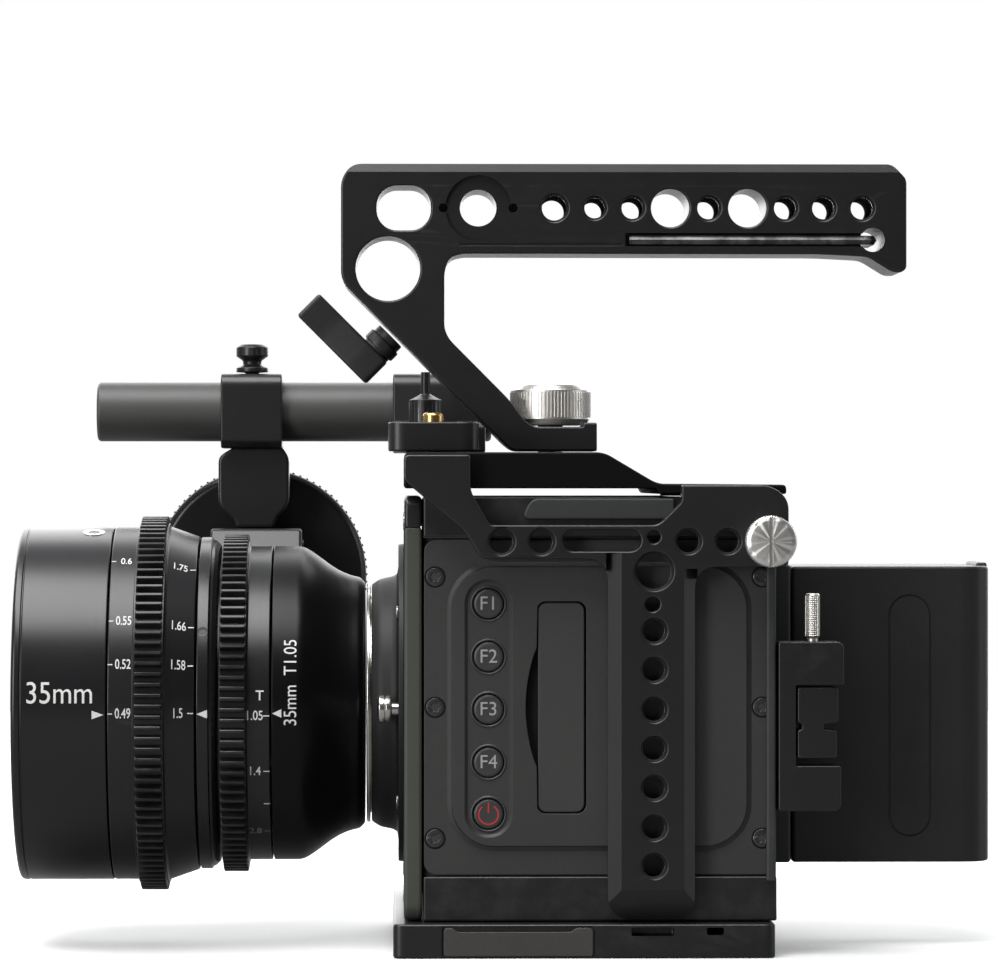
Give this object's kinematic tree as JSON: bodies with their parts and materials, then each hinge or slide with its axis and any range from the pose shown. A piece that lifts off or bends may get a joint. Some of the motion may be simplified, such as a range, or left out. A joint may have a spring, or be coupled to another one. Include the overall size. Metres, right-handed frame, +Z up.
{
  "type": "cinema camera rig",
  "caption": "Box cinema camera in a machined cage with a cine lens, drilled top handle, offset rod with follow focus, rear battery and cable clamp.",
  "frame": {"origin": "centre of the underside of the cage base plate", "axes": "+X towards the battery (the lens points to -X), +Z up, -Y towards the operator's side with the buttons"},
  "size_m": [0.2329, 0.1355, 0.1876],
  "materials": {
    "anodised_black": "satin black anodised",
    "body_paint": "fine matt paint",
    "side_panel": "fine matt grain",
    "front_frame": "fine matt paint",
    "lens_barrel": "satin black anodised",
    "bright_steel": "turned bright",
    "dark_steel": "blackened",
    "brass": "turned",
    "battery_plastic": "fine grain",
    "button_plastic": "smooth matt",
    "coated_glass": "coated",
    "circuit_board": "solder mask",
    "plain_alloy": "plain"
  },
  "bodies": {
    "camera_cage": {"cage_base_plate": "anodised_black", "cage_left_plate": "anodised_black", "cage_right_plate": "anodised_black", "cage_top_plate": "anodised_black", "body_front_frame": "front_frame", "body_shell": "body_paint", "side_panel": "side_panel", "image_sensor": "circuit_board", "main_board": "circuit_board", "heat_sink": "plain_alloy", "fan_frame": "battery_plastic", "mount_housing": "anodised_black", "lens_bayonet": "bright_steel", "lens_front_barrel": "lens_barrel", "lens_mid_barrel": "lens_barrel", "lens_rear_barrel": "lens_barrel", "lens_rear_glass": "coated_glass", "top_handle": "anodised_black", "shoe_block": "anodised_black", "rod_bracket": "anodised_black", "support_rod": "anodised_black", "front_rod_clamp": "anodised_black", "gearbox_housing": "anodised_black", "battery_plate": "anodised_black", "cable_clamp_body": "anodised_black", "panel_screw_1": "bright_steel", "panel_screw_2": "bright_steel", "panel_screw_3": "bright_steel", "panel_screw_4": "bright_steel", "panel_screw_5": "bright_steel", "panel_screw_6": "bright_steel"},
    "focus_ring": {"focus_ring": "lens_barrel"},
    "front_group": {"focus_cell": "lens_barrel", "lens_front_glass": "coated_glass"},
    "iris_ring": {"iris_ring": "lens_barrel"},
    "drive_gear": {"drive_gear": "dark_steel"},
    "hand_wheel": {"hand_wheel": "anodised_black"},
    "fan_rotor": {"fan_rotor": "dark_steel"},
    "lens_release_button": {"lens_release_button": "bright_steel"},
    "card_door": {"card_door": "side_panel"},
    "handle_clamp_lever": {"handle_clamp_lever": "dark_steel"},
    "handle_screw": {"handle_screw": "bright_steel"},
    "hex_key": {"hex_key": "dark_steel"},
    "shoe_pin": {"shoe_pin": "brass"},
    "bracket_screw": {"bracket_screw": "dark_steel"},
    "front_clamp_knob": {"front_clamp_knob": "dark_steel"},
    "battery": {"battery": "battery_plastic"},
    "battery_button": {"battery_button": "button_plastic"},
    "cable_clamp_jaw": {"cable_clamp_jaw": "anodised_black"},
    "clamp_thumbscrew": {"clamp_thumbscrew": "bright_steel"},
    "cage_lock_screw": {"cage_lock_screw": "bright_steel"},
    "button_f1": {"button_f1": "button_plastic"},
    "button_f2": {"button_f2": "button_plastic"},
    "button_f3": {"button_f3": "button_plastic"},
    "button_f4": {"button_f4": "button_plastic"},
    "button_power": {"button_power": "button_plastic"}
  },
  "joints": [
    {"name": "focus_turn", "type": "hinge", "parent": "camera_cage", "child": "focus_ring", "pos_m": [-0.1023, 0, 0.0575], "axis": [1, 0, 0], "range_deg": [-25, 245]},
    {"name": "front_group_slide", "type": "slide", "parent": "camera_cage", "child": "front_group", "axis": [1, 0, 0], "range_m": [-0.0004, 0.0037]},
    {"name": "drive_gear_turn", "type": "hinge", "parent": "camera_cage", "child": "drive_gear", "pos_m": [-0.102, 0.04982, 0.07865], "axis": [1, 0, 0], "range_deg": [-1140, 120]},
    {"name": "hand_wheel_turn", "type": "hinge", "parent": "camera_cage", "child": "hand_wheel", "pos_m": [-0.0789, 0.0737, 0.0873], "axis": [0, 1, 0], "range_deg": [-120, 1140]},
    {"name": "iris_turn", "type": "hinge", "parent": "camera_cage", "child": "iris_ring", "pos_m": [-0.08, 0, 0.0575], "axis": [1, 0, 0], "range_deg": [-105, 0]},
    {"name": "fan_spin", "type": "hinge", "parent": "camera_cage", "child": "fan_rotor", "pos_m": [0.017, 0, 0.0575], "axis": [1, 0, 0], "continuous": true},
    {"name": "lens_release_press", "type": "slide", "parent": "camera_cage", "child": "lens_release_button", "axis": [1, 0, 0], "range_m": [0, 0.0008], "stiffness_N_per_m": 300},
    {"name": "card_door_swing", "type": "hinge", "parent": "camera_cage", "child": "card_door", "pos_m": [0.00006, -0.0452, 0.05825], "axis": [0, 0, 1], "range_deg": [0, 100]},
    {"name": "clamp_lever_turn", "type": "hinge", "parent": "camera_cage", "child": "handle_clamp_lever", "pos_m": [-0.0452, 0, 0.1467], "axis": [0.7071, 0, 0.7071], "range_deg": [-90, 90]},
    {"name": "handle_screw_turn", "type": "hinge", "parent": "camera_cage", "child": "handle_screw", "pos_m": [-0.0067, 0, 0.1296], "axis": [0, 0, 1], "continuous": true},
    {"name": "hex_key_slide", "type": "slide", "parent": "camera_cage", "child": "hex_key", "axis": [0, -1, 0], "range_m": [0, 0.022]},
    {"name": "shoe_pin_press", "type": "slide", "parent": "camera_cage", "child": "shoe_pin", "axis": [0, 0, -1], "range_m": [0, 0.0015], "stiffness_N_per_m": 300},
    {"name": "bracket_screw_turn", "type": "hinge", "parent": "camera_cage", "child": "bracket_screw", "pos_m": [-0.0368, 0.04, 0.1285], "axis": [0, 0, 1], "continuous": true},
    {"name": "front_knob_turn", "type": "hinge", "parent": "camera_cage", "child": "front_clamp_knob", "pos_m": [-0.0808, 0.062, 0.1418], "axis": [0, 0, 1], "continuous": true},
    {"name": "battery_slide", "type": "slide", "parent": "camera_cage", "child": "battery", "axis": [0, 0, 1], "range_m": [0, 0.03]},
    {"name": "battery_button_press", "type": "slide", "parent": "camera_cage", "child": "battery_button", "axis": [0, -1, 0], "range_m": [0, 0.0012], "stiffness_N_per_m": 300},
    {"name": "clamp_jaw_slide", "type": "slide", "parent": "camera_cage", "child": "cable_clamp_jaw", "axis": [0, 0, -1], "range_m": [0, 0.001]},
    {"name": "clamp_screw_turn", "type": "hinge", "parent": "camera_cage", "child": "clamp_thumbscrew", "pos_m": [0.0537, -0.042, 0.0795], "axis": [0, 0, 1], "range_deg": [-5, 725]},
    {"name": "lock_screw_turn", "type": "hinge", "parent": "camera_cage", "child": "cage_lock_screw", "pos_m": [0.043, -0.0545, 0.0972], "axis": [0, -1, 0], "continuous": true},
    {"name": "button_f1_press", "type": "slide", "parent": "camera_cage", "child": "button_f1", "axis": [0, 1, 0], "range_m": [0, 0.0008], "stiffness_N_per_m": 400},
    {"name": "button_f2_press", "type": "slide", "parent": "camera_cage", "child": "button_f2", "axis": [0, 1, 0], "range_m": [0, 0.0008], "stiffness_N_per_m": 400},
    {"name": "button_f3_press", "type": "slide", "parent": "camera_cage", "child": "button_f3", "axis": [0, 1, 0], "range_m": [0, 0.0008], "stiffness_N_per_m": 400},
    {"name": "button_f4_press", "type": "slide", "parent": "camera_cage", "child": "button_f4", "axis": [0, 1, 0], "range_m": [0, 0.0008], "stiffness_N_per_m": 400},
    {"name": "button_power_press", "type": "slide", "parent": "camera_cage", "child": "button_power", "axis": [0, 1, 0], "range_m": [0, 0.0008], "stiffness_N_per_m": 400}
  ],
  "couplings": [
    {"joint": "front_group_slide", "follows": "focus_turn", "m_per_rad": 0.00085},
    {"joint": "drive_gear_turn", "follows": "focus_turn", "ratio": -4.625},
    {"joint": "hand_wheel_turn", "follows": "focus_turn", "ratio": 4.625},
    {"joint": "clamp_screw_turn", "follows": "clamp_jaw_slide", "rad_per_m": 12566}
  ]
}
